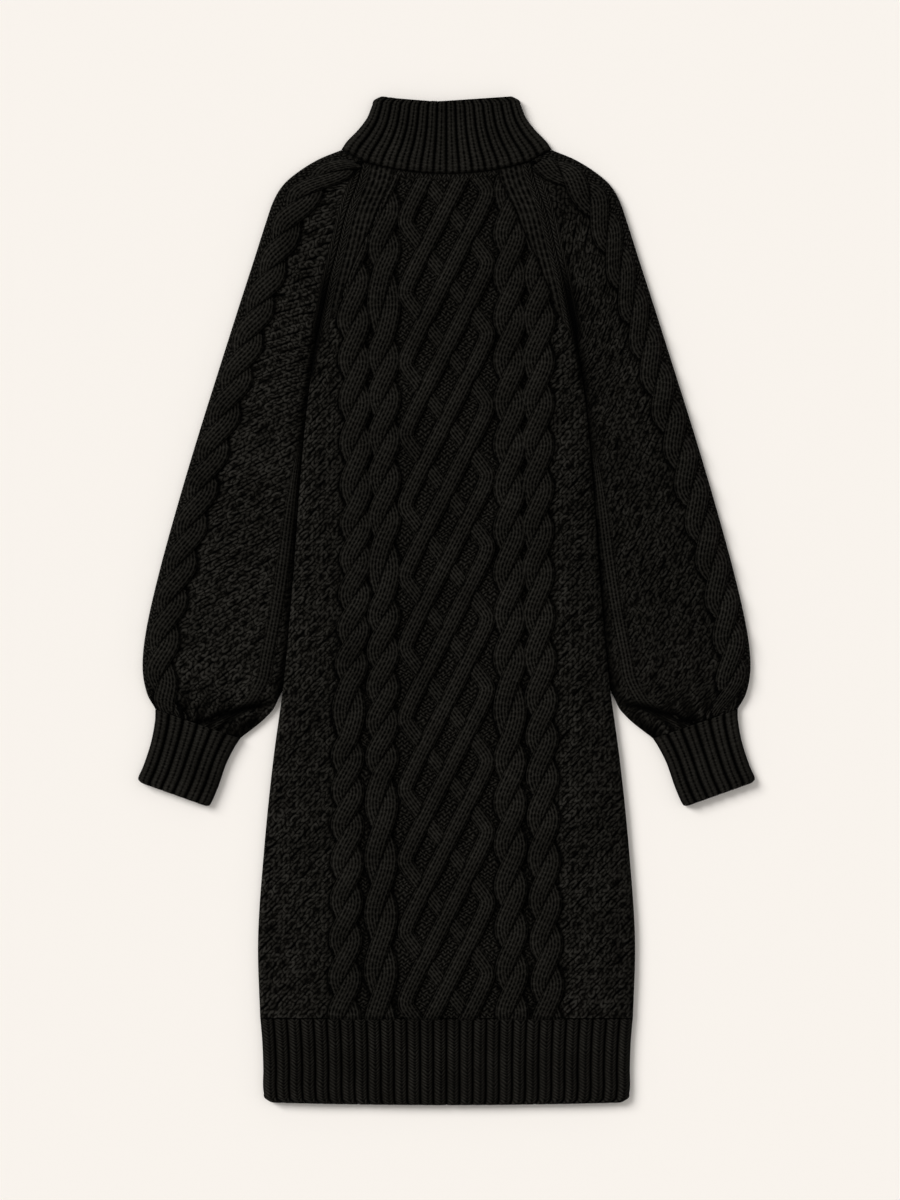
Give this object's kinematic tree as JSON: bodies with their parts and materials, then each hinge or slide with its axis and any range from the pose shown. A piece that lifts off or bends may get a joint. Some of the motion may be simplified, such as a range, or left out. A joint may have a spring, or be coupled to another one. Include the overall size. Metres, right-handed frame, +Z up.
{
  "type": "cable-knit sweater dress, laid flat",
  "caption": "Chunky cable-knit sweater dress laid flat: ribbed mock neck, raglan balloon sleeves with ribbed cuffs, rope cables, a central lattice and a ribbed hem.",
  "frame": {"origin": "on the surface it lies on, under the middle of its outline", "axes": "+Y along the dress towards the collar, +X across it to the right as seen from above, +Z up from the surface"},
  "size_m": [0.7098, 1.16, 0.0162],
  "materials": {
    "wool_yarn": "matte chunky wool knit"
  },
  "bodies": {
    "root": {"front_panel": "wool_yarn", "back_panel": "wool_yarn", "left_sleeve": "wool_yarn", "right_sleeve": "wool_yarn", "collar": "wool_yarn", "left_cuff": "wool_yarn", "right_cuff": "wool_yarn", "hem_rib": "wool_yarn"}
  },
  "joints": []
}
